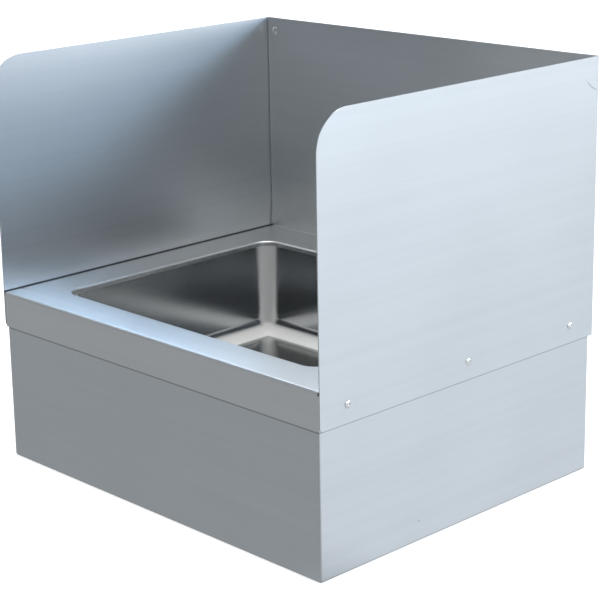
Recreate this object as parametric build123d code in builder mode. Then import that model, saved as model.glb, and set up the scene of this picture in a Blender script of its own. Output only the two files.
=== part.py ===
from build123d import *
import os
from math import radians, tan

os.makedirs("parts", exist_ok=True)

# A floor mop sink folded from stainless sheet: a box skirt on the floor, a sink top with a pressed
# bowl, and splash panels on three sides. X is left to right, Y front to back and Z up. The origin
# lies on the floor, halfway across the width and halfway along the depth. All sizes are millimetres.

# Overall sizes
top_width = 500.0
overall_depth = 420.0
deck_height = 195.0
splash_rise = 265.0

# Sheet and bends
sheet = 1.2
bend_inside = 1.2
bend_middle = bend_inside + sheet / 2
bend_outside = bend_inside + sheet

# Sink top
flange_drop = 40.0
flange_bottom = deck_height - flange_drop
deck_underside = deck_height - sheet
top_half = top_width / 2
top_front = -overall_depth / 2
top_rear = overall_depth / 2 - 2 * sheet
top_depth = top_rear - top_front
top_middle = (top_rear + top_front) / 2

# Bowl
bowl_length = 398.0
bowl_width = 312.0
front_rim = 48.0
bowl_depth = 115.0
bowl_corner = 20.0
cove_radius = 18.0
wall_draft = 2.0
collar_drop = 6.0
dish_radius = 92.0
dish_fall = 3.0
waste_recess_radius = 47.0
waste_recess_depth = 3.0
waste_hole_radius = 38.5
bowl_middle = top_front + front_rim + bowl_width / 2
bowl_floor = deck_height - bowl_depth
collar_bottom = deck_height - collar_drop
draft_inset = (collar_bottom - bowl_floor) * tan(radians(wall_draft))
waste_seat = bowl_floor - dish_fall - waste_recess_depth

# Skirt
skirt_clearance = 0.3
return_width = 20.0
top_return_width = 15.0
skirt_inset = sheet + skirt_clearance
skirt_half = top_half - skirt_inset
skirt_front = top_front + skirt_inset
skirt_rear = top_rear - skirt_inset
skirt_depth = skirt_rear - skirt_front
skirt_middle = (skirt_rear + skirt_front) / 2

# Splash panels
panel_setback = 0.5
panel_corner_radius = 40.0
panel_foot_radius = 4.0
corner_flange_width = 20.0
corner_flange_radius = 3.0
rear_panel_gap = 2.0
relief_gap = 3.6
relief_rise = 18.5
panel_top = deck_height + splash_rise
panel_height = panel_top - flange_bottom
panel_front = top_front + panel_setback
side_panel_outer = top_half + sheet
rear_panel_inner = top_rear
rear_panel_outer = top_rear + sheet
corner_flange_outer = rear_panel_outer + sheet

# Blind rivets
rivet_radius = 2.4
rivet_hole_clearance = 0.05
rivet_head_radius = 4.5
rivet_head_height = 1.5
dome_shoulder_radius = 3.4
dome_shoulder_height = 0.93
rivet_bulb_radius = 3.4
rivet_bulb_length = 4.5
mandrel_radius = 1.2
mandrel_recess = 0.8
rivet_hole_radius = rivet_radius + rivet_hole_clearance
side_rivet_drop = 21.0
side_rivet_front_setback = 38.0
side_rivet_rear_setback = 41.0
side_rivet_middle_shift = 4.5
corner_rivet_inset = 12.0
corner_rivet_drop = 16.0
rear_rivet_spacing = 120.0
rear_rivet_count = 3
rail_rivet_height = 15.0
side_rivet_height = deck_height - side_rivet_drop
corner_rivet_height = panel_top - corner_rivet_drop
corner_rivet_place = top_half - corner_rivet_inset
first_side_rivet = top_front + side_rivet_front_setback
last_side_rivet = overall_depth / 2 - side_rivet_rear_setback
middle_side_rivet = (first_side_rivet + last_side_rivet) / 2 + side_rivet_middle_shift
side_rivet_places = (first_side_rivet, middle_side_rivet, last_side_rivet)

# Rear rail and bowl bearers
rail_upright = 25.0
rail_foot = 20.0
end_gap = 0.3
bearer_width = 28.0
bearer_pad_thickness = 2.8
bearer_pad_length = 330.0
bearer_spacing = 224.0
bearer_top = bowl_floor - sheet - bearer_pad_thickness
inner_half = skirt_half - sheet
rail_half = inner_half - bend_inside - end_gap

# Waste fitting
seal_thickness = 2.0
seal_width = 6.0
flange_radius = 45.5
cup_sheet = 1.0
cup_radius = 36.5
cup_depth = 25.0
cup_blend = 3.0
cup_slot_count = 6
cup_slot_circle = 21.0
cup_slot_width = 8.0
cup_slot_angle = 38.0
gasket_thickness = 2.5
gasket_width = 11.0
body_rim_thickness = 4.0
body_wall = 3.0
body_clearance = 1.5
body_depth = 30.0
funnel_drop = 12.0
spigot_radius = 23.9
spigot_wall = 3.5
spigot_length = 24.0
tail_throat_radius = 36.0
tail_shoulder = 3.0
boss_radius = 7.0
rib_thickness = 2.5
rib_count = 4
insert_radius = 4.5
insert_length = 9.0
screw_radius = 3.0
screw_clearance = 0.25
screw_head_radius = 6.0
screw_head_height = 3.3
screw_length = 12.0
hex_socket = 4.0
hex_socket_depth = 2.0

# Lift-out strainer basket
basket_sheet = 0.8
basket_seat_gap = 0.3
basket_rim_radius = 38.5
basket_radius = 33.0
basket_depth = 17.0
basket_blend = 4.0
wall_slot_count = 24
wall_slot_width = 2.5
wall_slot_height = 8.0
floor_slot_count = 12
floor_slot_length = 14.0
floor_slot_width = 3.0
floor_slot_circle = 18.0
knob_radius = 9.0
knob_height = 6.0
knob_blend = 2.0
stem_radius = 3.0
stem_flange_radius = 6.5
stem_flange_thickness = 1.5
knob_below_floor = 0.5


def folded_profile(points):
    """Adds a bent sheet, seen on its edge, to the sketch that is open. The points lie mid-sheet."""
    with BuildLine() as path:
        FilletPolyline(*points, radius=bend_middle)
    trace(path.line, line_width=sheet)


def bowl_form(grow):
    """Returns the solid that fills the bowl, grown outwards by the given thickness of metal."""
    floor_length = bowl_length - 2 * draft_inset
    floor_width = bowl_width - 2 * draft_inset
    with BuildPart() as form:
        with BuildSketch(Plane.XY.offset(collar_bottom)):
            with Locations((0, bowl_middle)):
                RectangleRounded(bowl_length + 2 * grow, bowl_width + 2 * grow, bowl_corner + grow)
        with BuildSketch(Plane.XY.offset(bowl_floor - grow)):
            with Locations((0, bowl_middle)):
                RectangleRounded(floor_length + 2 * grow, floor_width + 2 * grow, bowl_corner + grow)
        loft(ruled=True)
        fillet(form.faces().sort_by(Axis.Z)[0].edges(), cove_radius + grow)
        # The floor falls to the waste as a shallow cone, and ends in a flat recess
        with BuildSketch(Plane.XZ.offset(-bowl_middle)):
            with BuildLine():
                Polyline(
                    (0, bowl_floor - grow),
                    (dish_radius, bowl_floor - grow),
                    (waste_recess_radius + grow, bowl_floor - dish_fall - grow),
                    (waste_recess_radius + grow, waste_seat - grow),
                    (0, waste_seat - grow),
                    close=True,
                )
            make_face()
        revolve(axis=Axis((0, bowl_middle, 0), (0, 0, 1)))
    return form.part


def skirt_form(grow, bend):
    """Returns the skirt's box as a solid with rounded edges, grown outwards by the given amount."""
    with BuildPart() as form:
        with BuildSketch(Plane.XY.offset(-grow)):
            with Locations((0, skirt_middle)):
                Rectangle(2 * (skirt_half + grow), skirt_depth + 2 * grow)
        extrude(amount=deck_underside + 2 * grow)
        fillet(form.edges(), bend)
    return form.part


def rivet(grip):
    """Returns a set blind rivet on the Z axis: its dome stands above Z 0 and its bulb below the grip."""
    with BuildPart() as fastener:
        with BuildSketch(Plane.XZ):
            with BuildLine():
                dome_top = rivet_head_height
                dome_start = (mandrel_radius, dome_top)
                Polyline(
                    dome_start,
                    (mandrel_radius, dome_top - mandrel_recess),
                    (0, dome_top - mandrel_recess),
                    (0, -grip - rivet_bulb_length),
                    (rivet_radius, -grip - rivet_bulb_length),
                    (rivet_bulb_radius, -grip - rivet_bulb_length / 2),
                    (rivet_bulb_radius, -grip),
                    (rivet_radius, -grip),
                    (rivet_radius, 0),
                    (rivet_head_radius, 0),
                )
                ThreePointArc(
                    (rivet_head_radius, 0),
                    (dome_shoulder_radius, dome_shoulder_height),
                    dome_start,
                )
            make_face()
        revolve(axis=Axis.Z)
    return fastener.part


def ring(bottom, thickness, inside, outside):
    """Returns a flat ring round the waste, from its lower face up."""
    with BuildPart() as washer:
        with BuildSketch(Plane.XY.offset(bottom)):
            with Locations((0, bowl_middle)):
                Circle(outside)
                Circle(inside, mode=Mode.SUBTRACT)
        extrude(amount=thickness)
    return washer.part


waste_axis = Axis((0, bowl_middle, 0), (0, 0, 1))
waste_plane = Plane.XZ.offset(-bowl_middle)
side_rivet_points = [(place, side_rivet_height) for place in side_rivet_places]
first_rear_rivet = -(rear_rivet_count - 1) / 2 * rear_rivet_spacing
rear_rivet_places = [first_rear_rivet + turn * rear_rivet_spacing for turn in range(rear_rivet_count)]
rear_flange_points = [(place, side_rivet_height) for place in rear_rivet_places]
rear_low_points = [(-corner_rivet_place, side_rivet_height), (corner_rivet_place, side_rivet_height)]
rear_high_points = [
    (-corner_rivet_place, corner_rivet_height),
    (corner_rivet_place, corner_rivet_height),
]
rail_points = [(-corner_rivet_place, rail_rivet_height), (corner_rivet_place, rail_rivet_height)]

# Sink top: a deck with four turned-down flanges and a bent-down collar round the bowl opening
with BuildPart() as deck:
    with BuildSketch(Plane.XY.offset(flange_bottom)):
        with Locations((0, top_middle)):
            Rectangle(top_width, top_depth)
    extrude(amount=flange_drop)
    fillet(deck.edges().filter_by(Axis.Z), bend_outside)
    fillet(deck.faces().sort_by(Axis.Z)[-1].edges(), bend_outside)
    offset(amount=-sheet, openings=deck.faces().sort_by(Axis.Z)[0])
    with BuildSketch(Plane.XY.offset(collar_bottom)):
        with Locations((0, bowl_middle)):
            RectangleRounded(bowl_length + 2 * sheet, bowl_width + 2 * sheet, bowl_corner + sheet)
    extrude(amount=deck_height - collar_bottom)
    with BuildSketch(Plane.XY.offset(collar_bottom)):
        with Locations((0, bowl_middle)):
            RectangleRounded(bowl_length, bowl_width, bowl_corner)
    extrude(amount=deck_height - collar_bottom, mode=Mode.SUBTRACT)
    flat_faces = deck.faces().filter_by(Axis.Z)
    underside = flat_faces.filter_by(lambda face: abs(face.center().Z - deck_underside) < sheet / 2)
    fillet(underside.sort_by(SortBy.AREA)[-1].inner_wires()[0].edges(), bend_inside)
    fillet(deck.faces().sort_by(Axis.Z)[-1].inner_wires()[0].edges(), bend_outside)
    with BuildSketch(Plane.YZ):
        with Locations(*side_rivet_points):
            Circle(rivet_hole_radius)
    extrude(amount=top_half, both=True, mode=Mode.SUBTRACT)
    with BuildSketch(Plane.XZ.offset(-top_rear)):
        with Locations(*rear_flange_points, *rear_low_points):
            Circle(rivet_hole_radius)
    extrude(amount=bend_outside, mode=Mode.SUBTRACT)
deck.part.label = "deck"
export_step(deck.part, "parts/deck.step")

# Pressed bowl, butt-welded to the collar, with a coved floor that falls to the waste recess
bowl_outside = bowl_form(sheet)
bowl_inside = bowl_form(0)
with BuildPart() as bowl:
    add(bowl_outside)
    add(bowl_inside, mode=Mode.SUBTRACT)
    with BuildSketch(Plane.XY.offset(waste_seat)):
        with Locations((0, bowl_middle)):
            Circle(waste_hole_radius)
    extrude(amount=-sheet, mode=Mode.SUBTRACT)
bowl.part.label = "bowl"
export_step(bowl.part, "parts/bowl.step")

# Box skirt: front and two sides with returns at the bottom, the top and the open back
skirt_outside = skirt_form(0, bend_outside)
skirt_inside = skirt_form(-sheet, bend_inside)
with BuildPart() as skirt:
    add(skirt_outside)
    add(skirt_inside, mode=Mode.SUBTRACT)
    with BuildSketch(Plane.XY):
        with Locations((0, skirt_middle + return_width)):
            Rectangle(2 * (skirt_half - return_width), skirt_depth)
    extrude(amount=sheet, mode=Mode.SUBTRACT)
    with BuildSketch(Plane.XY.offset(deck_underside)):
        with Locations((0, skirt_middle + top_return_width)):
            Rectangle(2 * (skirt_half - top_return_width), skirt_depth)
    extrude(amount=-sheet, mode=Mode.SUBTRACT)
    with BuildSketch(Plane.XZ.offset(-skirt_rear)):
        with Locations((0, deck_underside / 2)):
            Rectangle(2 * (skirt_half - return_width), deck_underside)
    extrude(amount=bend_outside, mode=Mode.SUBTRACT)
    with BuildSketch(Plane.YZ):
        with Locations(*side_rivet_points):
            Circle(rivet_hole_radius)
    extrude(amount=top_half, both=True, mode=Mode.SUBTRACT)
    with BuildSketch(Plane.XZ.offset(-skirt_rear)):
        with Locations(*rear_low_points, *rail_points):
            Circle(rivet_hole_radius)
    extrude(amount=bend_outside, mode=Mode.SUBTRACT)
skirt.part.label = "skirt"
export_step(skirt.part, "parts/skirt.step")

# Right splash panel, with a flange bent in behind the rear panel
with BuildPart() as right_splash_panel:
    with BuildSketch(Plane.XY.offset(flange_bottom)):
        folded_profile(
            [
                (side_panel_outer - sheet / 2, panel_front),
                (side_panel_outer - sheet / 2, corner_flange_outer - sheet / 2),
                (top_half - corner_flange_width, corner_flange_outer - sheet / 2),
            ]
        )
    extrude(amount=panel_height)
    front_corners = right_splash_panel.edges().filter_by(Axis.X).group_by(Axis.Y)[0].sort_by(Axis.Z)
    fillet(front_corners[-1], panel_corner_radius)
    fillet(front_corners[0], panel_foot_radius)
    flange_corners = right_splash_panel.edges().filter_by(Axis.Y).group_by(Axis.X)[0]
    fillet(flange_corners, corner_flange_radius)
    with BuildSketch(Plane.YZ.offset(top_half)):
        with Locations(*side_rivet_points):
            Circle(rivet_hole_radius)
    extrude(amount=sheet, mode=Mode.SUBTRACT)
    with BuildSketch(Plane.XZ.offset(-corner_flange_outer)):
        with Locations(rear_low_points[-1], rear_high_points[-1]):
            Circle(rivet_hole_radius)
    extrude(amount=sheet, mode=Mode.SUBTRACT)
right_splash_panel.part.label = "right_splash_panel"
export_step(right_splash_panel.part, "parts/right_splash_panel.step")

# Left splash panel, the same pressing the other hand
with BuildPart() as left_splash_panel:
    mirror(right_splash_panel.part, about=Plane.YZ)
left_splash_panel.part.label = "left_splash_panel"
export_step(left_splash_panel.part, "parts/left_splash_panel.step")

# Rear splash panel, notched at its lower corners to clear the bends of the side panels
with BuildPart() as rear_splash_panel:
    with BuildSketch(Plane.XZ.offset(-rear_panel_inner)):
        with Locations((0, (panel_top + deck_height + relief_rise) / 2)):
            Rectangle(2 * (top_half - rear_panel_gap), splash_rise - relief_rise)
        with Locations((0, flange_bottom + (flange_drop + relief_rise) / 2)):
            Rectangle(2 * (top_half - relief_gap), flange_drop + relief_rise)
    extrude(amount=-sheet)
    with BuildSketch(Plane.XZ.offset(-rear_panel_outer)):
        with Locations(*rear_low_points, *rear_high_points, *rear_flange_points):
            Circle(rivet_hole_radius)
    extrude(amount=sheet, mode=Mode.SUBTRACT)
rear_splash_panel.part.label = "rear_splash_panel"
export_step(rear_splash_panel.part, "parts/rear_splash_panel.step")

# Side rivets hold each side panel, the flange of the top and the skirt together
side_rivet = rivet(2 * sheet + skirt_inset)
right_rivet_planes = [
    Plane(origin=(side_panel_outer, place, height), z_dir=(1, 0, 0))
    for place, height in side_rivet_points
]
with BuildPart() as right_side_rivets:
    with Locations(*right_rivet_planes):
        add(side_rivet)
right_side_rivets.part.label = "right_side_rivets"
export_step(right_side_rivets.part, "parts/right_side_rivets.step")

with BuildPart() as left_side_rivets:
    mirror(right_side_rivets.part, about=Plane.YZ)
left_side_rivets.part.label = "left_side_rivets"
export_step(left_side_rivets.part, "parts/left_side_rivets.step")

# Top corner rivets, set from inside the splash panels
top_corner_rivet = rivet(2 * sheet)
top_corner_planes = [
    Plane(origin=(place, rear_panel_inner, height), z_dir=(0, -1, 0))
    for place, height in rear_high_points
]
with BuildPart() as top_corner_rivets:
    with Locations(*top_corner_planes):
        add(top_corner_rivet)
top_corner_rivets.part.label = "top_corner_rivets"
export_step(top_corner_rivets.part, "parts/top_corner_rivets.step")

# Rear rivets, set from behind: two through the corner flanges and the skirt, three through the flange
low_corner_rivet = rivet(3 * sheet + skirt_inset)
rear_flange_rivet = rivet(2 * sheet)
low_corner_planes = [
    Plane(origin=(place, corner_flange_outer, height), z_dir=(0, 1, 0))
    for place, height in rear_low_points
]
rear_flange_planes = [
    Plane(origin=(place, rear_panel_outer, height), z_dir=(0, 1, 0))
    for place, height in rear_flange_points
]
with BuildPart() as rear_rivets:
    with Locations(*low_corner_planes):
        add(low_corner_rivet)
    with Locations(*rear_flange_planes):
        add(rear_flange_rivet)
rear_rivets.part.label = "rear_rivets"
export_step(rear_rivets.part, "parts/rear_rivets.step")

# Rear rail: an angle that ties the two sides of the skirt across the open back
rail_face = skirt_rear - sheet
with BuildPart() as rear_rail:
    with BuildSketch(Plane.YZ.offset(-rail_half)):
        folded_profile(
            [
                (rail_face - rail_foot, sheet + sheet / 2),
                (rail_face - sheet / 2, sheet + sheet / 2),
                (rail_face - sheet / 2, sheet + rail_upright),
            ]
        )
    extrude(amount=2 * rail_half)
    with BuildSketch(Plane.XZ.offset(-rail_face)):
        with Locations(*rail_points):
            Circle(rivet_hole_radius)
    extrude(amount=sheet, mode=Mode.SUBTRACT)
rear_rail.part.label = "rear_rail"
export_step(rear_rail.part, "parts/rear_rail.step")

rail_rivet = rivet(2 * sheet)
rail_rivet_planes = [
    Plane(origin=(place, skirt_rear, height), z_dir=(0, 1, 0))
    for place, height in rail_points
]
with BuildPart() as rail_rivets:
    with Locations(*rail_rivet_planes):
        add(rail_rivet)
rail_rivets.part.label = "rail_rivets"
export_step(rail_rivets.part, "parts/rail_rivets.step")

# Two bearers stand on the bottom returns of the skirt and carry the bowl floor on rubber pads
bearer_names = ("front_bearer", "rear_bearer")
bearer_places = (bowl_middle - bearer_spacing / 2, bowl_middle + bearer_spacing / 2)
for bearer_name, place in zip(bearer_names, bearer_places):
    left_leg = place - bearer_width / 2 + sheet / 2
    right_leg = place + bearer_width / 2 - sheet / 2
    with BuildPart() as bearer:
        with BuildSketch(Plane.YZ.offset(-rail_half)):
            folded_profile(
                [
                    (left_leg, sheet),
                    (left_leg, bearer_top - sheet / 2),
                    (right_leg, bearer_top - sheet / 2),
                    (right_leg, sheet),
                ]
            )
        extrude(amount=2 * rail_half)
    bearer.part.label = bearer_name
    export_step(bearer.part, f"parts/{bearer_name}.step")

with BuildPart() as bearer_pads:
    with BuildSketch(Plane.XY.offset(bearer_top)):
        with Locations(*[(0, place) for place in bearer_places]):
            Rectangle(bearer_pad_length, bearer_width - 2 * bend_outside)
    extrude(amount=bearer_pad_thickness)
bearer_pads.part.label = "bearer_pads"
export_step(bearer_pads.part, "parts/bearer_pads.step")

# Waste: a steel cup on a seal above the bowl floor, drawn down onto a moulded body by one screw
flange_face = waste_seat + seal_thickness
with BuildPart() as flange_seal:
    add(ring(waste_seat, seal_thickness, flange_radius - seal_width, flange_radius))
flange_seal.part.label = "flange_seal"
export_step(flange_seal.part, "parts/flange_seal.step")

cup_top = flange_face + cup_sheet
cup_bottom = cup_top - cup_depth
cup_slot_arc = CenterArc((0, 0), cup_slot_circle, -cup_slot_angle / 2, cup_slot_angle)
with BuildPart() as waste_cup:
    with BuildSketch(waste_plane):
        with BuildLine():
            Polyline(
                (screw_radius + screw_clearance, cup_bottom),
                (cup_radius, cup_bottom),
                (cup_radius, flange_face),
                (flange_radius, flange_face),
                (flange_radius, cup_top),
                (cup_radius - cup_sheet, cup_top),
                (cup_radius - cup_sheet, cup_bottom + cup_sheet),
                (screw_radius + screw_clearance, cup_bottom + cup_sheet),
                close=True,
            )
        make_face()
    revolve(axis=waste_axis)
    cup_rings = waste_cup.edges().filter_by(GeomType.CIRCLE)
    outer_foot = cup_rings.filter_by(lambda edge: abs(edge.radius - cup_radius) < cup_sheet / 4)
    inner_foot = cup_rings.filter_by(lambda edge: abs(edge.radius - cup_radius + cup_sheet) < cup_sheet / 4)
    fillet(outer_foot.sort_by(Axis.Z)[0], cup_blend + cup_sheet)
    fillet(inner_foot.sort_by(Axis.Z)[0], cup_blend)
    with BuildSketch(Plane.XY.offset(cup_bottom)):
        with Locations((0, bowl_middle)):
            with PolarLocations(0, cup_slot_count):
                SlotArc(cup_slot_arc, cup_slot_width)
    extrude(amount=cup_sheet, mode=Mode.SUBTRACT)
waste_cup.part.label = "waste_cup"
export_step(waste_cup.part, "parts/waste_cup.step")

body_top = waste_seat - sheet - gasket_thickness
body_rim_radius = waste_hole_radius + gasket_width
with BuildPart() as body_gasket:
    add(ring(body_top, gasket_thickness, waste_hole_radius, body_rim_radius))
body_gasket.part.label = "body_gasket"
export_step(body_gasket.part, "parts/body_gasket.step")

body_bore = cup_radius + body_clearance
body_floor = body_top - body_depth
funnel_bottom = body_floor - funnel_drop
spigot_bottom = funnel_bottom - spigot_length
spigot_bore = spigot_radius - spigot_wall
body_outside = body_bore + body_wall
with BuildPart() as waste_body:
    with BuildSketch(waste_plane):
        with BuildLine():
            Polyline(
                (body_bore, body_top),
                (body_rim_radius, body_top),
                (body_rim_radius, body_top - body_rim_thickness),
                (body_outside, body_top - body_rim_thickness),
                (body_outside, body_floor),
                (body_bore, body_floor),
                close=True,
            )
        make_face()
    revolve(axis=waste_axis)
waste_body.part.label = "waste_body"
export_step(waste_body.part, "parts/waste_body.step")

# Tail: a funnel and spigot joined to the foot of the body, with a shoulder inside that carries the spider
with BuildPart() as waste_tail:
    with BuildSketch(waste_plane):
        with BuildLine():
            Polyline(
                (tail_throat_radius, body_floor),
                (body_outside, body_floor),
                (body_outside, body_floor - tail_shoulder),
                (spigot_radius, funnel_bottom),
                (spigot_radius, spigot_bottom),
                (spigot_bore, spigot_bottom),
                (spigot_bore, funnel_bottom),
                close=True,
            )
        make_face()
    revolve(axis=waste_axis)
waste_tail.part.label = "waste_tail"
export_step(waste_tail.part, "parts/waste_tail.step")

# Spider: four ribs that hold a boss for the screw's insert under the cup
with BuildPart() as waste_spider:
    with BuildSketch(Plane.XY.offset(body_floor)):
        with Locations((0, bowl_middle)):
            with PolarLocations(0, rib_count // 2, angular_range=180):
                Rectangle(2 * body_outside, rib_thickness)
            Circle(body_bore, mode=Mode.INTERSECT)
            Circle(boss_radius)
            Circle(insert_radius, mode=Mode.SUBTRACT)
    extrude(amount=cup_bottom - body_floor)
waste_spider.part.label = "waste_spider"
export_step(waste_spider.part, "parts/waste_spider.step")

with BuildPart() as insert_nut:
    add(ring(cup_bottom - insert_length, insert_length, screw_radius, insert_radius))
insert_nut.part.label = "insert_nut"
export_step(insert_nut.part, "parts/insert_nut.step")

with BuildPart() as clamp_screw:
    with BuildSketch(Plane.XY.offset(cup_bottom + cup_sheet)):
        with Locations((0, bowl_middle)):
            Circle(screw_head_radius)
    extrude(amount=screw_head_height)
    fillet(clamp_screw.edges().sort_by(Axis.Z)[-1], screw_head_height / 2)
    with BuildSketch(Plane.XY.offset(cup_bottom + cup_sheet)):
        with Locations((0, bowl_middle)):
            Circle(screw_radius)
    extrude(amount=-screw_length)
    with BuildSketch(Plane.XY.offset(cup_bottom + cup_sheet + screw_head_height)):
        with Locations((0, bowl_middle)):
            RegularPolygon(hex_socket / 2, 6, major_radius=False)
    extrude(amount=-hex_socket_depth, mode=Mode.SUBTRACT)
clamp_screw.part.label = "clamp_screw"
export_step(clamp_screw.part, "parts/clamp_screw.step")

# Strainer basket that lifts out of the cup, with slots in its wall and floor
basket_rim = cup_top + basket_seat_gap
basket_top = basket_rim + basket_sheet
basket_floor = basket_top - basket_depth
with BuildPart() as strainer_basket:
    with BuildSketch(waste_plane):
        with BuildLine():
            Polyline(
                (stem_radius, basket_floor),
                (basket_radius, basket_floor),
                (basket_radius, basket_rim),
                (basket_rim_radius, basket_rim),
                (basket_rim_radius, basket_top),
                (basket_radius - basket_sheet, basket_top),
                (basket_radius - basket_sheet, basket_floor + basket_sheet),
                (stem_radius, basket_floor + basket_sheet),
                close=True,
            )
        make_face()
    revolve(axis=waste_axis)
    basket_rings = strainer_basket.edges().filter_by(GeomType.CIRCLE)
    outer_foot = basket_rings.filter_by(lambda edge: abs(edge.radius - basket_radius) < basket_sheet / 4)
    inner_foot = basket_rings.filter_by(
        lambda edge: abs(edge.radius - basket_radius + basket_sheet) < basket_sheet / 4
    )
    fillet(outer_foot.sort_by(Axis.Z)[0], basket_blend + basket_sheet)
    fillet(inner_foot.sort_by(Axis.Z)[0], basket_blend)
    with BuildSketch(Plane.XY.offset(basket_floor)):
        with Locations((0, bowl_middle)):
            with PolarLocations(floor_slot_circle, floor_slot_count):
                SlotOverall(floor_slot_length, floor_slot_width)
    extrude(amount=basket_sheet, mode=Mode.SUBTRACT)
    slot_middle = (basket_floor + basket_blend + basket_rim) / 2
    slot_cut_reach = (basket_rim_radius + basket_radius) / 2
    slot_planes = [
        Plane(
            origin=(0, bowl_middle, slot_middle),
            z_dir=Vector(1, 0, 0).rotate(Axis.Z, 360 * turn / wall_slot_count),
            x_dir=(0, 0, 1),
        )
        for turn in range(wall_slot_count)
    ]
    for slot_plane in slot_planes:
        with BuildSketch(slot_plane):
            SlotOverall(wall_slot_height, wall_slot_width)
        extrude(amount=slot_cut_reach, mode=Mode.SUBTRACT)
strainer_basket.part.label = "strainer_basket"
export_step(strainer_basket.part, "parts/strainer_basket.step")

# Knob on a stem, staked through the basket floor
knob_top = bowl_floor - knob_below_floor
with BuildPart() as basket_knob:
    with BuildSketch(Plane.XY.offset(knob_top - knob_height)):
        with Locations((0, bowl_middle)):
            Circle(knob_radius)
    extrude(amount=knob_height)
    fillet(basket_knob.edges(), knob_blend)
    with BuildSketch(Plane.XY.offset(basket_floor)):
        with Locations((0, bowl_middle)):
            Circle(stem_radius)
    extrude(amount=knob_top - knob_height / 2 - basket_floor)
    with BuildSketch(Plane.XY.offset(basket_floor + basket_sheet)):
        with Locations((0, bowl_middle)):
            Circle(stem_flange_radius)
    extrude(amount=stem_flange_thickness)
basket_knob.part.label = "basket_knob"
export_step(basket_knob.part, "parts/basket_knob.step")
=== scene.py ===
"""Dresses the floor mop sink: folded sheet steel, a pressed bowl, blind rivets and a strainer."""

import logging
import math
from dataclasses import dataclass
from enum import Enum
from typing import Any, Iterable, Sequence

import bpy
from mathutils import Euler, Matrix, Vector

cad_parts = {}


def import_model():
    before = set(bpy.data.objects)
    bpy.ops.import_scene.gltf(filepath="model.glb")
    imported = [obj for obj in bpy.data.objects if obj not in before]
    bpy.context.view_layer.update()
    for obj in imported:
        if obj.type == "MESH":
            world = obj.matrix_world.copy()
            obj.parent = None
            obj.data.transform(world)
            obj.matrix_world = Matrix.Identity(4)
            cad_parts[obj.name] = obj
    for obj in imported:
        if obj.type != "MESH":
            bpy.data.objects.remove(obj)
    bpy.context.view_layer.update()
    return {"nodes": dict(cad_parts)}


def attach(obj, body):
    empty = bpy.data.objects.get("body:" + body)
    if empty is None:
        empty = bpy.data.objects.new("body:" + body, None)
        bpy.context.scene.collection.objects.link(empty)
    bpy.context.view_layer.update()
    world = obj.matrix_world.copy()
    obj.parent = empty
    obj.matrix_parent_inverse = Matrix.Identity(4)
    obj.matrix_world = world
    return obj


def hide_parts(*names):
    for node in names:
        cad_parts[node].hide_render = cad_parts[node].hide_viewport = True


log = logging.getLogger("mop_sink")

Colour = tuple[float, float, float]
Place = tuple[float, float, float]
Tint = Colour | bpy.types.NodeSocket

WHITE: Colour = (1.0, 1.0, 1.0)
WARM: Colour = (1.0, 0.95, 0.88)
COOL: Colour = (0.88, 0.96, 1.0)
PALE_BLUE: Colour = (0.80, 0.90, 1.0)
BLUE: Colour = (0.57, 0.77, 1.0)


class Grain(Enum):
    """Which way a metal's brushing runs, as its cells to the metre along X, Y and Z."""

    LEVEL = (8.0, 8.0, 2600.0)
    ACROSS = (8.0, 2600.0, 2600.0)
    PRESSED = (14.0, 14.0, 700.0)
    SPUN = (60.0, 60.0, 400.0)


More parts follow.
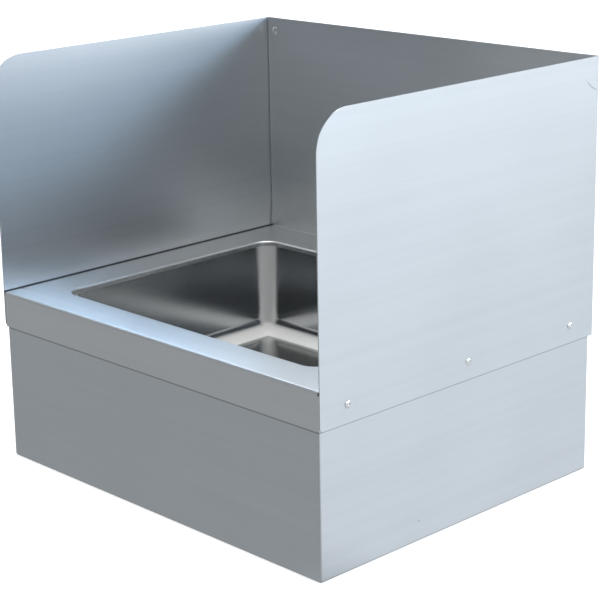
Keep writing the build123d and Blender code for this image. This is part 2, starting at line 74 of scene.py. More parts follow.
class Field:
    """A value in a node tree that plain sums work on; each operation adds its own node."""

    def __init__(self, bench: "Bench", socket: bpy.types.NodeSocket) -> None:
        """Wraps one output socket.

        Args:
            bench: Where further nodes are made.
            socket: The output socket that gives the value.
        """
        self.bench = bench
        self.socket = socket

    def _math(self, operation: str, *values: Any, swap: bool = False) -> "Field":
        """Adds one Math node.

        Args:
            operation: The node's operation.
            values: The other operands, as numbers or fields.
            swap: Whether this field is the last operand instead of the first.

        Returns:
            The node's result.
        """
        operands = [*values, self] if swap else [self, *values]
        made = self.bench.node(
            "ShaderNodeMath", {"operation": operation}, dict(enumerate(operands))
        )
        return self.bench.field(made.outputs[0])

    def __add__(self, other: Any) -> "Field":
        """Returns the sum."""
        return self._math("ADD", other)

    __radd__ = __add__

    def __sub__(self, other: Any) -> "Field":
        """Returns the difference."""
        return self._math("SUBTRACT", other)

    def __rsub__(self, other: Any) -> "Field":
        """Returns the difference the other way round."""
        return self._math("SUBTRACT", other, swap=True)

    def __mul__(self, other: Any) -> "Field":
        """Returns the product."""
        return self._math("MULTIPLY", other)

    __rmul__ = __mul__

    def __truediv__(self, other: Any) -> "Field":
        """Returns the quotient."""
        return self._math("DIVIDE", other)

    def __abs__(self) -> "Field":
        """Returns the size without its sign."""
        return self._math("ABSOLUTE")

    def root(self) -> "Field":
        """Returns the square root."""
        return self._math("SQRT")

    def sine(self) -> "Field":
        """Returns the sine."""
        return self._math("SINE")

    def cosine(self) -> "Field":
        """Returns the cosine."""
        return self._math("COSINE")

    def whole(self) -> "Field":
        """Returns the whole part."""
        return self._math("FLOOR")

    def more_than(self, other: Any) -> "Field":
        """Returns 1 where the field is more than the other, and 0 elsewhere."""
        return self._math("GREATER_THAN", other)

    def highest(self, other: Any) -> "Field":
        """Returns the greater of the two."""
        return self._math("MAXIMUM", other)

    def lowest(self, other: Any) -> "Field":
        """Returns the smaller of the two."""
        return self._math("MINIMUM", other)

    def ramp(self, start: float, end: float) -> "Field":
        """Returns a smooth step.

        Args:
            start: The value at which the step is 0.
            end: The value at which the step is 1, which may be the lower of the two.

        Returns:
            The step, from 0 to 1.
        """
        rises = start < end
        limits = {"From Min": min(start, end), "From Max": max(start, end)}
        steps = {"To Min": float(not rises), "To Max": float(rises)}
        made = self.bench.node(
            "ShaderNodeMapRange",
            {"interpolation_type": "SMOOTHSTEP"},
            {"Value": self, **limits, **steps},
        )
        return self.bench.field(made.outputs["Result"])


class Bench:
    """Adds nodes to one node tree."""

    def __init__(self, tree: bpy.types.NodeTree) -> None:
        """Starts with the tree empty.

        Args:
            tree: The tree to fill.
        """
        self.tree = tree
        tree.nodes.clear()

    def node(
        self,
        kind: str,
        settings: dict[str, Any] | None = None,
        values: dict[Any, Any] | None = None,
    ) -> Any:
        """Adds one node.

        Args:
            kind: The node's type.
            settings: The node's own settings, which are set before its inputs.
            values: What the inputs get, as fill takes it.

        Returns:
            The new node.
        """
        made = self.tree.nodes.new(kind)
        for name, value in (settings or {}).items():
            setattr(made, name, value)
        self.fill(made, values or {})
        return made

    def fill(self, made: Any, values: dict[Any, Any]) -> None:
        """Sets a node's inputs.

        Args:
            made: The node.
            values: What each input gets, by name or number: a constant, a socket or a Field.
        """
        for name, value in values.items():
            if isinstance(value, Field):
                self.tree.links.new(value.socket, made.inputs[name])
            elif isinstance(value, bpy.types.NodeSocket):
                self.tree.links.new(value, made.inputs[name])
            else:
                made.inputs[name].default_value = value

    def field(self, socket: bpy.types.NodeSocket) -> Field:
        """Returns a socket as a field."""
        return Field(self, socket)

    @staticmethod
    def enabled(made: Any) -> bpy.types.NodeSocket:
        """Returns the output that a node with several kinds of output has in use."""
        return next(socket for socket in made.outputs if socket.enabled)

    def choice(self, number: Field, values: Sequence[Any]) -> Field:
        """Picks one of several values.

        Args:
            number: Which value is picked, from 0.
            values: The values, as numbers or fields.

        Returns:
            The value picked.
        """
        made = self.node("GeometryNodeIndexSwitch", {"data_type": "FLOAT"}, {0: number})
        while len(made.index_switch_items) < len(values):
            made.index_switch_items.new()
        self.fill(made, dict(enumerate(values, start=1)))
        return self.field(made.outputs[0])

    def attribute(self, name: str, kind: str = "FLOAT") -> bpy.types.NodeSocket:
        """Reads a named attribute of a geometry.

        Args:
            name: The attribute's name.
            kind: The attribute's data type.

        Returns:
            The socket that gives its value.
        """
        made = self.node("GeometryNodeInputNamedAttribute", {"data_type": kind}, {"Name": name})
        return made.outputs[0]

    def place(self) -> tuple[Field, Field, Field]:
        """Returns the three Object coordinates as fields."""
        coordinates = self.node("ShaderNodeTexCoord")
        parts = self.node("ShaderNodeSeparateXYZ", values={0: coordinates.outputs["Object"]})
        x, y, z = (self.field(part) for part in parts.outputs)
        return x, y, z

    def noise(self, cells: Place, detail: float = 2.0, roughness: float = 0.5) -> Field:
        """Adds noise that is stretched on the Object coordinates.

        Args:
            cells: The pattern's cells to the metre along X, Y and Z.
            detail: The noise's detail.
            roughness: The noise's roughness.

        Returns:
            The noise, near 0.5.
        """
        coordinates = self.node("ShaderNodeTexCoord")
        mapping = self.node(
            "ShaderNodeMapping",
            values={"Vector": coordinates.outputs["Object"], "Scale": cells},
        )
        made = self.node(
            "ShaderNodeTexNoise",
            values={
                "Vector": mapping.outputs[0],
                "Scale": 1.0,
                "Detail": detail,
                "Roughness": roughness,
            },
        )
        return self.field(made.outputs[0])

    def tint(self, low: Tint, high: Tint, share: Field) -> bpy.types.NodeSocket:
        """Mixes two colours.

        Args:
            low: The colour where the share is 0, or a socket that gives it.
            high: The colour where the share is 1, or a socket that gives it.
            share: The share.

        Returns:
            The mixed colour.
        """
        ends = [
            end if isinstance(end, bpy.types.NodeSocket) else (*end, 1.0) for end in (low, high)
        ]
        made = self.node(
            "ShaderNodeMix",
            {"data_type": "RGBA", "clamp_factor": True},
            {0: share, 6: ends[0], 7: ends[1]},
        )
        return made.outputs[2]

    def surface(
        self, values: dict[str, Any], relief: Field, strength: float, depth: float
    ) -> None:
        """Adds the surface shader with its bump, and sends it to the material's output.

        Args:
            values: What the shader's inputs get, apart from Normal.
            relief: The height of the surface's relief, from 0 to 1.
            strength: The bump's strength.
            depth: The relief's depth in metres.
        """
        bump = self.node(
            "ShaderNodeBump", values={"Height": relief, "Strength": strength, "Distance": depth}
        )
        shader = self.node(
            "ShaderNodeBsdfPrincipled", values={**values, "Normal": bump.outputs[0]}
        )
        self.node("ShaderNodeOutputMaterial", values={"Surface": shader.outputs[0]})


def new_material(name: str) -> tuple[bpy.types.Material, Bench]:
    """Starts a material.

    Args:
        name: Its name.

    Returns:
        The material and the bench for its nodes.
    """
    made = bpy.data.materials.new(name)
    made.use_nodes = True
    return made, Bench(made.node_tree)


@dataclass(frozen=True)
class Band:
    """A stretch with soft ends; each pair gives where its share is 0 and where it is 1."""

    rise: tuple[float, float]
    fall: tuple[float, float]

    def share(self, along: Field) -> Field:
        """Returns 1 within the band and 0 outside it."""
        return along.ramp(*self.rise) * along.ramp(*self.fall)


@dataclass(frozen=True)
class Scratch:
    """A bent scratch on the right side's outer faces, rising to the front from its lowest point.

    The stretch that is shown is given in shares of the reach.
    """

    lowest: tuple[float, float]
    reach: float
    bend: float = 0.0
    half_width: float = 0.0012
    core: float = 0.3
    shown: Band = Band((-1.0, -0.8), (0.1, -0.7))
    outer_side: tuple[float, float] = (0.2470, 0.2475)

    def share(self, bench: Bench) -> Field:
        """Returns how much of the scratch shows at a place.

        Args:
            bench: Where the nodes are made.

        Returns:
            1 in the middle of the scratch, and 0 away from it.
        """
        x, y, z = bench.place()
        along = y - self.lowest[0]
        away = abs(z - self.lowest[1] - along * along * self.bend)
        line = away.ramp(self.half_width, self.half_width * self.core)
        return line * self.shown.share(along / self.reach) * x.ramp(*self.outer_side)


@dataclass(frozen=True)
class SheetFinish:
    """Satin sheet steel: fine brushing, faint cloudy patches and scratches, with painted shade
    along its joints, at its lowest edge and under the deck flange's edge.

    The shares say how far each mark darkens the sheet. The brushing spreads reflections
    across its grain, which the shader's anisotropy does with a fine relief of its own.
    """

    name: str
    # painted shade where the deck meets the side panels, as a band across X
    joint_shade: Band
    grain: Grain = Grain.LEVEL
    dark: Colour = (0.745, 0.775, 0.80)
    light: Colour = (0.795, 0.825, 0.85)
    roughness: float = 0.292
    roughness_swing: float = 0.024
    brushing_depth: float = 0.000003
    brushing_strength: float = 0.55
    streak_stretch: Place = (0.35, 0.06, 0.06)
    cloud_cells: Place = (7.0, 7.0, 7.0)
    tone_parts: Place = (0.30, 0.35, 0.35)
    tone_edges: tuple[float, float] = (0.30, 0.70)
    spread: float = 0.71
    quarter_turn: float = 0.25
    # height of the painted joint shade, and the share of tone kept in it
    joint_shade_height: Band = Band((0.190, 0.192), (0.1968, 0.1960))
    joint_shade_share: float = 0.22
    scratches: tuple[Scratch, ...] = ()
    scratch_share: float = 0.62
    # painted contact shadow along the sheets' lowest 2 mm, and the share of tone kept in it
    foot_shadow: tuple[float, float] = (0.0022, 0.0011)
    foot_shadow_share: float = 0.55
    # painted shadow on the skirt just under the deck flange's lower edge
    eaves_shadow: Band = Band((0.1525, 0.1529), (0.1551, 0.1549))
    eaves_shadow_share: float = 0.60

    def _marks(self, bench: Bench) -> list[tuple[float, Field]]:
        """Finds the dark marks: painted shade in the joint beside the deck, the scratches, and
        painted shadow along the lowest edge and under the deck flange's edge.

        Args:
            bench: Where the nodes are made.

        Returns:
            The share of its tone that the sheet keeps in each mark, with where the mark is.
        """
        x, _, z = bench.place()
        # painted shade in the joint beside the deck
        shaded_joint = self.joint_shade.share(abs(x)) * self.joint_shade_height.share(z)
        scratches = [(self.scratch_share, scratch.share(bench)) for scratch in self.scratches]
        # the joint, lowest-edge and flange-edge marks are painted shade; the scratches are real
        # marks
        return [
            (self.joint_shade_share, shaded_joint),
            *scratches,
            (self.foot_shadow_share, z.ramp(*self.foot_shadow)),
            (self.eaves_shadow_share, self.eaves_shadow.share(z)),
        ]

    def material(self) -> bpy.types.Material:
        """Returns the material."""
        made, bench = new_material(self.name)
        hairlines = bench.noise(self.grain.value, detail=3.0, roughness=0.65)
        stretched = [cells * part for cells, part in zip(self.grain.value, self.streak_stretch)]
        streaks = bench.noise(tuple(stretched))
        clouds = bench.noise(self.cloud_cells)
        fine, middle, broad = self.tone_parts
        tone = hairlines * fine + streaks * middle + clouds * broad
        colour = bench.tint(self.dark, self.light, tone.ramp(*self.tone_edges))
        for kept, share in self._marks(bench):
            red, green, blue = self.dark
            colour = bench.tint(colour, (red * kept, green * kept, blue * kept), share)
        swing = self.roughness_swing * (streaks * 0.6 + clouds * 0.4 - 0.5)
        values = {
            "Base Color": colour,
            "Metallic": 1.0,
            "Roughness": self.roughness + swing,
            "Anisotropic": self.spread,
            "Anisotropic Rotation": self.quarter_turn,
        }
        bench.surface(values, hairlines, self.brushing_strength, self.brushing_depth)
        return made


@dataclass(frozen=True)
class BowlFinish:
    """Satin pressing whose coves and upright corners carry painted highlights, lighter and
    rougher, and whose walls are darker than the sheets, which paints shade inside the bowl.

    The bowl's sizes repeat the model's. Haze is how far a place with a painted highlight
    scatters light instead of mirroring it.
    """

    name: str
    half_length: float = 0.1957
    half_width: float = 0.1527
    middle: float = -0.006
    corner: float = 0.020
    cove: float = 0.018
    floor: float = 0.080
    cove_edge: tuple[float, float] = (1.10, 0.85)
    cove_top: tuple[float, float] = (0.70, 0.40)
    band_side: tuple[float, float] = (0.001, 0.010)
    band_depth: tuple[float, float] = (0.012, 0.008)
    cloud_cells: Place = (11.0, 11.0, 11.0)
    tone_edges: tuple[float, float] = (0.3, 0.7)
    # the walls' tone, darker than the sheets', paints the shade inside the bowl
    dark: Colour = (0.46, 0.475, 0.485)
    light: Colour = (0.53, 0.545, 0.555)
    # painted highlight: the light tone of the coves and upright corners
    highlight_tone: Colour = (0.98, 0.98, 0.97)
    roughness: float = 0.16
    roughness_swing: float = 0.04
    cove_roughness: float = 0.58
    corner_roughness: float = 0.34
    # how much metal the painted highlights give up, so they show lit matt
    cove_haze: float = 0.95
    corner_haze: float = 0.45
    grain_strength: float = 0.4
    grain_depth: float = 0.00003

    def _highlight_tone_shares(self, bench: Bench) -> tuple[Field, Field]:
        """Finds the places with painted highlights.

        Args:
            bench: Where the nodes are made.

        Returns:
            1 in the coves and 1 in the upright corners, and 0 elsewhere.
        """
        x, y, z = bench.place()
        past_x = abs(x) - (self.half_length - self.corner)
        past_y = abs(y - self.middle) - (self.half_width - self.corner)
        out_x, out_y = past_x.highest(0.0), past_y.highest(0.0)
        rounded = self.corner - (out_x * out_x + out_y * out_y).root()
        depth = rounded - past_x.highest(past_y).lowest(0.0)
        edge = [self.cove * part for part in self.cove_edge]
        top = [self.floor + self.cove * part for part in self.cove_top]
        cove = depth.ramp(*edge) * z.ramp(*top)
        corner = past_x.lowest(past_y).ramp(*self.band_side) * depth.ramp(*self.band_depth)
        return cove, corner

    def material(self) -> bpy.types.Material:
        """Returns the material."""
        made, bench = new_material(self.name)
        cove, corner = self._highlight_tone_shares(bench)
        hairlines = bench.noise(Grain.PRESSED.value, detail=3.0, roughness=0.6)
        clouds = bench.noise(self.cloud_cells)
        tone = (hairlines * 0.6 + clouds * 0.4).ramp(*self.tone_edges)
        satin = bench.tint(self.dark, self.light, tone)
        roughness = (
            self.roughness
            + cove * (self.cove_roughness - self.roughness)
            + corner * (self.corner_roughness - self.roughness)
            + self.roughness_swing * (clouds - 0.5)
        )
        values = {
            # painted highlight: the coves and corners take the light tone and less metal
            "Base Color": bench.tint(satin, self.highlight_tone, cove.highest(corner)),
            "Metallic": 1.0 - cove * self.cove_haze - corner * self.corner_haze,
            "Roughness": roughness,
        }
        bench.surface(values, hairlines, self.grain_strength, self.grain_depth)
        return made


@dataclass(frozen=True)
class TurnedFinish:
    """Smooth turned, headed or spun metal, with faint rings and a slight change of tone."""

    name: str
    dark: Colour
    light: Colour
    roughness: float = 0.22
    roughness_swing: float = 0.12
    fine_cells: Place = (300.0, 300.0, 300.0)
    tone_edges: tuple[float, float] = (0.35, 0.65)
    ring_strength: float = 0.3
    ring_depth: float = 0.00003

    def material(self) -> bpy.types.Material:
        """Returns the material."""
        made, bench = new_material(self.name)
        rings = bench.noise(Grain.SPUN.value)
        fine = bench.noise(self.fine_cells, detail=1.0)
        values = {
            "Base Color": bench.tint(self.dark, self.light, rings.ramp(*self.tone_edges)),
            "Metallic": 1.0,
            "Roughness": self.roughness + self.roughness_swing * (fine - 0.5),
        }
        bench.surface(values, rings, self.ring_strength, self.ring_depth)
        return made


@dataclass(frozen=True)
class MouldedFinish:
    """Moulded plastic or rubber: a fine spark-eroded texture and a slight change of tone."""

    name: str
    dark: Colour
    light: Colour
    roughness: float = 0.5
    roughness_swing: float = 0.16
    texture_cells: Place = (900.0, 900.0, 900.0)
    cloud_cells: Place = (25.0, 25.0, 25.0)
    tone_edges: tuple[float, float] = (0.3, 0.7)
    texture_strength: float = 0.35
    texture_depth: float = 0.0001

    def material(self) -> bpy.types.Material:
        """Returns the material."""
        made, bench = new_material(self.name)
        texture = bench.noise(self.texture_cells)
        clouds = bench.noise(self.cloud_cells)
        values = {
            "Base Color": bench.tint(self.dark, self.light, clouds.ramp(*self.tone_edges)),
            "Roughness": self.roughness + self.roughness_swing * (clouds - 0.5),
        }
        bench.surface(values, texture, self.texture_strength, self.texture_depth)
        return made


@dataclass
class SheetMetal:
    """The folded and pressed sheets, as the model gives them, with their finishes."""

    level_sheet: SheetFinish = SheetFinish(
        "level_brushed_sheet",
        # painted shade on the side panels where they meet the deck
        Band((0.2494, 0.2499), (0.2506, 0.2504)),
        scratches=(
            Scratch((0.2117, 0.4239), reach=0.0240, bend=23.5),
            Scratch((-0.0665, 0.0222), reach=0.0035),
        ),
    )
    top_sheet: SheetFinish = SheetFinish(
        "top_brushed_sheet",
        # painted shade on the deck where it meets the side panels
        Band((0.2482, 0.2487), (0.2512, 0.2510)),
        grain=Grain.ACROSS,
        # painted light: the deck's tone is lighter than the other sheets' to show the extra light
        # falling on it
        dark=(0.82, 0.83, 0.84),
        light=(0.87, 0.88, 0.89),
        roughness=0.30,
        brushing_depth=0.0001,
        spread=0.0,
    )
    bowl_sheet: BowlFinish = BowlFinish("bowl_satin")
    level_nodes: tuple[str, ...] = (
        "skirt",
        "right_splash_panel",
        "left_splash_panel",
        "rear_splash_panel",
        "rear_rail",
        "front_bearer",
        "rear_bearer",
    )

    def dress(self, nodes: dict[str, bpy.types.Object]) -> None:
        """Puts the finishes on the sheets.

        Args:
            nodes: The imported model's nodes.
        """
        finish(nodes, self.level_nodes, self.level_sheet.material())
        finish(nodes, ("deck",), self.top_sheet.material())
        finish(nodes, ("bowl",), self.bowl_sheet.material())


@dataclass(frozen=True)
class Seat:
    """One rivet's seat: its place on the outer sheet, the way it faces and the grip."""

    place: Place
    facing: Place
    grip: float


@dataclass(frozen=True)
class RivetSeats:
    """Where the blind rivets sit, in metres from the model's origin."""

    across: float = 0.238
    side_face: float = 0.2512
    side_height: float = 0.174
    side_places: tuple[float, float, float] = (-0.172, 0.003, 0.169)
    corner_face: float = 0.2076
    corner_height: float = 0.444
    rear_face: float = 0.2088
    rear_places: tuple[float, float, float] = (-0.120, 0.0, 0.120)
    low_corner_face: float = 0.2100
    rail_face: float = 0.2061
    rail_height: float = 0.015
    two_sheets: float = 0.0024
    side_grip: float = 0.0039
    low_corner_grip: float = 0.0051

    def all(self) -> list[Seat]:
        """Returns every seat."""
        front, rear = (0.0, -1.0, 0.0), (0.0, 1.0, 0.0)
        seats = []
        for side in (-1.0, 1.0):
            for y in self.side_places:
                place = (side * self.side_face, y, self.side_height)
                seats.append(Seat(place, (side, 0.0, 0.0), self.side_grip))
            edge = side * self.across
            seats += [
                Seat((edge, self.corner_face, self.corner_height), front, self.two_sheets),
                Seat((edge, self.low_corner_face, self.side_height), rear, self.low_corner_grip),
                Seat((edge, self.rail_face, self.rail_height), rear, self.two_sheets),
            ]
        for x in self.rear_places:
            seats.append(Seat((x, self.rear_face, self.side_height), rear, self.two_sheets))
        return seats


@dataclass
class Fasteners:
    """The blind rivets, turned once by Geometry Nodes and set at every seat."""

    head_radius: float = 0.0045
    head_height: float = 0.00148
    mandrel_radius: float = 0.0012
    mandrel_recess: float = 0.0008
    shank_radius: float = 0.0024
    bulb_radius: float = 0.0034
    bulb_length: float = 0.0045
    sides: int = 32
    seed: int = 4
    dome_shares: tuple[float, ...] = (0.30, 0.52, 0.70, 0.84, 0.94, 0.985)
    dome_fullness: float = 0.72
    rounding: float = 0.0001
    weld_distance: float = 0.000002
    seats: RivetSeats = RivetSeats()
    rivet_steel: TurnedFinish = TurnedFinish(
        "rivet_steel_smooth", (0.80, 0.81, 0.82), (0.90, 0.91, 0.92), 0.24
    )
    rivet_nodes: tuple[str, ...] = (
        "right_side_rivets",
        "left_side_rivets",
        "top_corner_rivets",
        "rear_rivets",
        "rail_rivets",
    )

    def build(self) -> None:
        """Makes the rivets in the place of the model's plain ones."""
        sizes = {
            "Head Radius": self.head_radius,
            "Head Height": self.head_height,
            "Mandrel Radius": self.mandrel_radius,
            "Mandrel Recess": self.mandrel_recess,
            "Shank Radius": self.shank_radius,
            "Bulb Radius": self.bulb_radius,
            "Bulb Length": self.bulb_length,
            "Sides": self.sides,
            "Seed": self.seed,
        }
        tree = self._tree(sizes, self.rivet_steel.material())
        seats = self.seats.all()
        rivets = grown_mesh("blind_rivets", self._seat_points(seats), tree, sizes)
        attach(rivets, "sink")
        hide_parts(*self.rivet_nodes)
        log.info("blind_rivets: %d rivets, %d faces", len(seats), len(rivets.data.polygons))

    def _seat_points(self, seats: Sequence[Seat]) -> bpy.types.Mesh:
        """Makes the points that the rivets are set on.

        Args:
            seats: The rivets' seats.

        Returns:
            A mesh with one point for each seat, which carries the seat's facing and grip.
        """
        points = bpy.data.meshes.new("rivet_seats")
        points.from_pydata([seat.place for seat in seats], [], [])
        facings = points.attributes.new("facing", "FLOAT_VECTOR", "POINT")
        for number, seat in enumerate(seats):
            facings.data[number].vector = seat.facing
        grips = points.attributes.new("grip", "FLOAT", "POINT")
        for number, seat in enumerate(seats):
            grips.data[number].value = seat.grip
        return points

    def _head_rings(self, sizes: dict[str, Field]) -> list[tuple[Field, Field]]:
        """Returns the head's outline, from the mandrel's broken end to the shank at the sheet.

        Args:
            sizes: The tree's named sizes, which the outline's numbers are shares of.

        Returns:
            Each ring's radius and height.
        """
        head, top = sizes["Head Radius"], sizes["Head Height"]
        hole, recess = sizes["Mandrel Radius"], sizes["Mandrel Recess"]
        rings = [
            (hole * 0.0, top - recess * 0.35),
            (hole * 0.45, top - recess * 0.45),
            (hole * 0.72, top - recess * 0.60),
            (hole * 0.78, top - recess),
            (hole * 0.98, top - recess),
            (hole, top - recess * 0.12),
            (hole * 1.10, top * 0.995),
        ]
        for share in self.dome_shares:
            fall = (1.0 - share * share) ** self.dome_fullness
            rings.append((hole + (head - hole) * share, top * fall))
        rings += [
            (head, top * 0.06),
            (head * 0.985, top * 0.0),
            (sizes["Shank Radius"], top * 0.0),
        ]
        return rings

    def _blind_rings(self, sizes: dict[str, Field]) -> list[tuple[Field, Field]]:
        """Returns the outline behind the sheets, from the shank to the tip of the bulb.

        Args:
            sizes: The tree's named sizes, which the outline's numbers are shares of.

        Returns:
            Each ring's radius and height, without the seat's grip.
        """
        shank, bulb, length = sizes["Shank Radius"], sizes["Bulb Radius"], sizes["Bulb Length"]
        return [
            (shank, length * -0.001),
            (bulb * 0.90, length * -0.002),
            (bulb, length * -0.16),
            (bulb * 0.97, length * -0.45),
            (shank * 1.12, length * -0.90),
            (shank * 0.80, length * -1.0),
            (shank * 0.0, length * -1.0),
        ]

    def _turned_rivet(self, bench: Bench, sizes: dict[str, Field]) -> bpy.types.NodeSocket:
        """Adds the nodes that bend a grid round the rivet's outline.

        Args:
            bench: Where the nodes are made.
            sizes: The tree's named sizes.

        Returns:
            The rivet on the Z axis, whose "behind" attribute is 1 on the blind side.
        """
        head, blind = self._head_rings(sizes), self._blind_rings(sizes)
        radii, heights = zip(*head, *blind)
        columns = sizes["Sides"] + 1.0
        number = bench.field(bench.node("GeometryNodeInputIndex").outputs[0])
        ring = (number / columns + self.rounding).whole()
        turn = (number - ring * columns) / sizes["Sides"] * math.tau
        radius, height = bench.choice(ring, radii), bench.choice(ring, heights)
        place = bench.node(
            "ShaderNodeCombineXYZ",
            values={0: radius * turn.cosine(), 1: radius * turn.sine(), 2: height},
        )
        grid = bench.node(
            "GeometryNodeMeshGrid", values={"Vertices X": len(radii), "Vertices Y": columns}
        )
        turned = bench.node(
            "GeometryNodeSetPosition",
            values={"Geometry": grid.outputs[0], "Position": place.outputs[0]},
        )
        behind = bench.node(
            "GeometryNodeStoreNamedAttribute",
            {"data_type": "FLOAT", "domain": "POINT"},
            {
                "Geometry": turned.outputs[0],
                "Name": "behind",
                "Value": ring.more_than(len(head) - 0.5),
            },
        )
        closed = bench.node(
            "GeometryNodeMergeByDistance",
            values={"Geometry": behind.outputs[0], "Distance": self.weld_distance},
        )
        return closed.outputs[0]

    def _tree(
        self, sizes: dict[str, float], material: bpy.types.Material
    ) -> bpy.types.NodeTree:
        """Builds the node tree that turns one rivet and sets it at every seat.

        Args:
            sizes: The tree's named inputs and their values.
            material: The rivets' material.

        Returns:
            The tree.
        """
        tree = bpy.data.node_groups.new("blind_rivet_setter", "GeometryNodeTree")
        bench = Bench(tree)
        for way in ("OUTPUT", "INPUT"):
            tree.interface.new_socket("Geometry", in_out=way, socket_type="NodeSocketGeometry")
        for name, value in sizes.items():
            kind = "NodeSocketInt" if isinstance(value, int) else "NodeSocketFloat"
            tree.interface.new_socket(name, in_out="INPUT", socket_type=kind)
        given = bench.node("NodeGroupInput")
        named = {name: bench.field(given.outputs[name]) for name in sizes}
        facing = bench.attribute("facing", "FLOAT_VECTOR")
        spin = bench.node(
            "FunctionNodeRandomValue",
            {"data_type": "FLOAT"},
            {"Min": 0.0, "Max": math.tau, "Seed": named["Seed"]},
        )
        spun = bench.node(
            "FunctionNodeAxisAngleToRotation",
            values={"Axis": facing, "Angle": bench.enabled(spin)},
        )
        stood = bench.node("FunctionNodeAlignRotationToVector", {"axis": "Z"}, {"Vector": facing})
        turned = bench.node(
            "FunctionNodeRotateRotation",
            {"rotation_space": "GLOBAL"},
            {0: stood.outputs[0], 1: spun.outputs[0]},
        )
        placed = bench.node(
            "GeometryNodeInstanceOnPoints",
            values={
                "Points": given.outputs["Geometry"],
                "Instance": self._turned_rivet(bench, named),
                "Rotation": turned.outputs[0],
            },
        )
        real = bench.node("GeometryNodeRealizeInstances", values={0: placed.outputs[0]})
        grip, behind = (bench.field(bench.attribute(name)) for name in ("grip", "behind"))
        drawn = bench.node(
            "ShaderNodeVectorMath",
            {"operation": "SCALE"},
            {0: facing, "Scale": grip * behind * -1.0},
        )
        gripped = bench.node(
            "GeometryNodeSetPosition",
            values={"Geometry": real.outputs[0], "Offset": drawn.outputs[0]},
        )
        smooth = bench.node(
            "GeometryNodeSetShadeSmooth", values={0: gripped.outputs[0], "Shade Smooth": True}
        )
        dressed = bench.node(
            "GeometryNodeSetMaterial", values={0: smooth.outputs[0], "Material": material}
        )
        bench.node("NodeGroupOutput", values={0: dressed.outputs[0]})
        return tree


@dataclass
class Waste:
    """The waste cup, its seals and body, and the strainer basket."""

    polished: TurnedFinish = TurnedFinish(
        "waste_steel_polished", (0.62, 0.63, 0.64), (0.74, 0.75, 0.76), 0.16
    )
    brass: TurnedFinish = TurnedFinish(
        "insert_brass_turned", (0.50, 0.34, 0.12), (0.66, 0.47, 0.18), 0.3
    )
    rubber: MouldedFinish = MouldedFinish(
        "seal_rubber_black", (0.012, 0.012, 0.012), (0.03, 0.03, 0.03), 0.7
    )
    plastic: MouldedFinish = MouldedFinish(
        "waste_plastic_white", (0.66, 0.66, 0.63), (0.76, 0.76, 0.73), 0.42
    )
    polished_nodes: tuple[str, ...] = (
        "waste_cup",
        "clamp_screw",
        "strainer_basket",
        "basket_knob",
    )
    rubber_nodes: tuple[str, ...] = ("flange_seal", "body_gasket", "bearer_pads")
    plastic_nodes: tuple[str, ...] = ("waste_body", "waste_tail", "waste_spider")

    def dress(self, nodes: dict[str, bpy.types.Object]) -> None:
        """Puts the finishes on the waste's pieces, and the rubber on the bearers' pads.

        Args:
            nodes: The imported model's nodes.
        """
        finish(nodes, self.polished_nodes, self.polished.material())
        finish(nodes, ("insert_nut",), self.brass.material())
        finish(nodes, self.rubber_nodes, self.rubber.material())
        finish(nodes, self.plastic_nodes, self.plastic.material())


@dataclass(frozen=True)
class Softbox:
    """One large soft lamp far off.

    Azimuth and elevation, in degrees, say where it stands. Width and height, in degrees,
    say how much of the view from the object it fills.
    """

    name: str
    azimuth: float
    elevation: float
    width: float
    height: float
    brightness: float
    tint: Colour = WHITE
    distance: float = 30.0
    aim_height: float = 0.2

    def build(self) -> None:
        """Makes the lamp, facing the object."""
        azimuth, elevation = math.radians(self.azimuth), math.radians(self.elevation)
        level = math.cos(elevation)
        towards = Vector(
            (math.cos(azimuth) * level, math.sin(azimuth) * level, math.sin(elevation))
        )
        data = bpy.data.lights.new(self.name, "AREA")
        data.shape = "RECTANGLE"
        data.size = self.distance * math.radians(self.width)
        data.size_y = self.distance * math.radians(self.height)
        data.color = self.tint
        data.energy = self.brightness * math.pi * data.size * data.size_y
        lamp = bpy.data.objects.new(self.name, data)
        lamp.location = Vector((0.0, 0.0, self.aim_height)) + towards * self.distance
        lamp.rotation_euler = towards.to_track_quat("Z", "Y").to_euler()
        lamp.visible_camera = False
        bpy.context.scene.collection.objects.link(lamp)


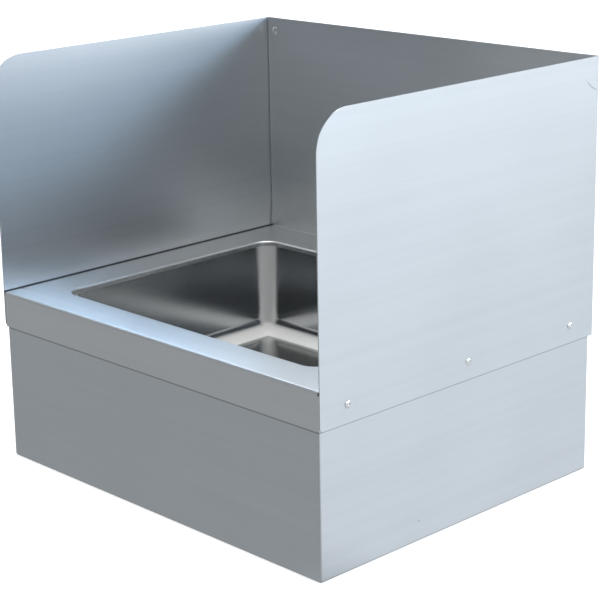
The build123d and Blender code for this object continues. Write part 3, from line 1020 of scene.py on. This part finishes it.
@dataclass
class Studio:
    """A plain pale floor, soft lamps and a white surround that is dim in the metal's mirror.

    In reflections the floor has a brighter side, towards bright_side, as the photograph's
    right-hand faces show.
    """

    floor_half: float = 40.0
    floor_tone: float = 0.86
    floor_glow: float = 0.45
    bright_side: tuple[float, float] = (0.643, 0.766)
    bright_edge: tuple[float, float] = (-0.15, 0.35)
    floor_dim: float = 0.36
    floor_bright: float = 0.67
    floor_tint: Colour = (0.93, 0.97, 1.0)
    soft_light: float = 0.30
    soft_tint: Colour = (0.97, 0.985, 1.0)
    mirrored_light: float = 0.10
    least_distance: float = 0.0001
    lamps: tuple[Softbox, ...] = (
        Softbox("right_rear_low_softbox", 45.0, 7.0, 44.0, 13.0, 2.7),
        Softbox("right_rear_blue_softbox", 45.0, 20.0, 43.0, 13.0, 9.0, BLUE),
        Softbox("right_rear_high_softbox", 45.0, 36.0, 37.0, 17.0, 1.0, BLUE),
        Softbox("right_low_softbox", 0.0, 13.0, 44.0, 26.0, 1.45, COOL),
        Softbox("right_high_softbox", 0.0, 36.0, 37.0, 17.0, 1.3),
        Softbox("rear_high_softbox", 90.0, 36.0, 37.0, 17.0, 0.9, BLUE),
        Softbox("left_rear_low_softbox", 135.0, 20.0, 43.0, 13.0, 1.0),
        Softbox("left_rear_high_softbox", 135.0, 36.0, 37.0, 17.0, 2.4, PALE_BLUE),
        Softbox("left_low_softbox", 180.0, 20.0, 43.0, 13.0, 0.3),
        Softbox("front_left_softbox", 225.0, 28.0, 40.0, 30.0, 0.5, PALE_BLUE),
        Softbox("front_right_softbox", 315.0, 36.0, 37.0, 17.0, 1.2, WARM),
        Softbox("overhead_softbox", 0.0, 90.0, 46.0, 46.0, 3.4),
    )

    def build(self) -> None:
        """Makes the floor, the world and the lamps."""
        self._floor()
        self._world()
        for lamp in self.lamps:
            lamp.build()

    @staticmethod
    def _rays(bench: Bench) -> tuple[Field, Field]:
        """Sorts the rays that reach a surface.

        Args:
            bench: Where the nodes are made.

        Returns:
            1 for a ray from the camera or through something clear, and 1 for a reflection.
        """
        rays = bench.node("ShaderNodeLightPath")
        camera, clear, glossy = (
            bench.field(rays.outputs[f"Is {kind} Ray"])
            for kind in ("Camera", "Transmission", "Glossy")
        )
        return camera.highest(clear), glossy

    def _floor(self) -> None:
        """Makes the floor, which is white to the camera and keeps the object's shadow."""
        mesh = bpy.data.meshes.new("floor")
        signs = ((-1, -1), (1, -1), (1, 1), (-1, 1))
        corners = [(x * self.floor_half, y * self.floor_half, 0.0) for x, y in signs]
        mesh.from_pydata(corners, [], [(0, 1, 2, 3)])
        mesh.materials.append(self._floor_material())
        floor = bpy.data.objects.new("floor", mesh)
        bpy.context.scene.collection.objects.link(floor)

    def _floor_material(self) -> bpy.types.Material:
        """Returns the floor's material."""
        made, bench = new_material("floor_pale")
        x, y, _ = bench.place()
        seen, glossy = self._rays(bench)
        distance = (x * x + y * y + self.least_distance).root()
        facing = (x * self.bright_side[0] + y * self.bright_side[1]) / distance
        bright = facing.ramp(*self.bright_edge)
        tone = self.floor_dim + bright * (self.floor_bright - self.floor_dim)
        matt = bench.node(
            "ShaderNodeBsdfDiffuse", values={"Color": (*(self.floor_tone,) * 3, 1.0)}
        )
        glow = bench.node(
            "ShaderNodeEmission",
            values={"Color": (*WHITE, 1.0), "Strength": seen * self.floor_glow},
        )
        mirrored = bench.node(
            "ShaderNodeEmission", values={"Color": (*self.floor_tint, 1.0), "Strength": tone}
        )
        lit = bench.node(
            "ShaderNodeAddShader", values={0: matt.outputs[0], 1: glow.outputs[0]}
        )
        either = bench.node(
            "ShaderNodeMixShader",
            values={0: glossy, 1: lit.outputs[0], 2: mirrored.outputs[0]},
        )
        bench.node("ShaderNodeOutputMaterial", values={"Surface": either.outputs[0]})
        return made

    def _world(self) -> None:
        """Makes the surround: white to the camera, plain as soft light, dim in reflections."""
        world = bpy.data.worlds.new("studio")
        bpy.context.scene.world = world
        world.use_nodes = True
        bench = Bench(world.node_tree)
        seen, glossy = self._rays(bench)
        strength = self.soft_light + glossy * (self.mirrored_light - self.soft_light)
        soft = bench.node(
            "ShaderNodeBackground", values={"Color": (*self.soft_tint, 1.0), "Strength": strength}
        )
        white = bench.node(
            "ShaderNodeBackground", values={"Color": (*WHITE, 1.0), "Strength": 1.0}
        )
        either = bench.node(
            "ShaderNodeMixShader", values={0: seen, 1: soft.outputs[0], 2: white.outputs[0]}
        )
        bench.node("ShaderNodeOutputWorld", values={"Surface": either.outputs[0]})


@dataclass
class PhotographCamera:
    """The camera, at the photograph's viewing angle; its turn is in degrees."""

    place: Place = (1.3959, -1.3467, 0.7605)
    turn: Place = (75.17, 1.33, 47.01)
    lens: float = 109.71
    sensor_width: float = 36.0
    shift: tuple[float, float] = (0.0825, -0.0825)
    farthest: float = 50.0

    def build(self) -> None:
        """Makes the camera and gives it to the scene."""
        data = bpy.data.cameras.new("camera")
        data.sensor_width = self.sensor_width
        data.lens = self.lens
        data.shift_x, data.shift_y = self.shift
        data.clip_end = self.farthest
        camera = bpy.data.objects.new("camera", data)
        turn = Euler([math.radians(angle) for angle in self.turn]).to_matrix().to_4x4()
        camera.matrix_world = Matrix.Translation(self.place) @ turn
        bpy.context.scene.collection.objects.link(camera)
        bpy.context.scene.camera = camera


def grown_mesh(
    name: str, start: bpy.types.Mesh, tree: bpy.types.NodeTree, sizes: dict[str, float]
) -> bpy.types.Object:
    """Runs a node tree on a mesh and keeps the result as a plain mesh.

    Args:
        name: The new piece's name.
        start: The mesh that the tree starts from.
        tree: The tree.
        sizes: The values of the tree's named inputs.

    Returns:
        The new piece.
    """
    source = bpy.data.objects.new(f"{name}_start", start)
    bpy.context.scene.collection.objects.link(source)
    modifier = source.modifiers.new("grow", "NODES")
    modifier.node_group = tree
    for socket in tree.interface.items_tree:
        if socket.in_out == "INPUT" and socket.name in sizes:
            modifier[socket.identifier] = sizes[socket.name]
    graph = bpy.context.evaluated_depsgraph_get()
    mesh = bpy.data.meshes.new_from_object(source.evaluated_get(graph))
    bpy.data.objects.remove(source)
    material = next(material for material in mesh.materials if material)
    mesh.materials.clear()
    mesh.materials.append(material)
    mesh.polygons.foreach_set("material_index", [0] * len(mesh.polygons))
    mesh.name = name
    piece = bpy.data.objects.new(name, mesh)
    bpy.context.scene.collection.objects.link(piece)
    return piece


def finish(
    nodes: dict[str, bpy.types.Object], names: Iterable[str], material: bpy.types.Material
) -> None:
    """Gives nodes of the model one material.

    Args:
        nodes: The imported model's nodes.
        names: Which of them.
        material: The material.
    """
    for name in names:
        for slot in nodes[name].material_slots:
            slot.material = material
        log.info("%s: finished in %s", name, material.name)


def main() -> None:
    """Builds the scene in order."""
    logging.basicConfig(level=logging.INFO, format="%(message)s")
    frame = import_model()
    nodes = frame["nodes"]
    PhotographCamera().build()
    SheetMetal().dress(nodes)
    Fasteners().build()
    Waste().dress(nodes)
    Studio().build()
    bpy.context.scene.view_settings.view_transform = "Standard"


if __name__ == "__main__":
    main()
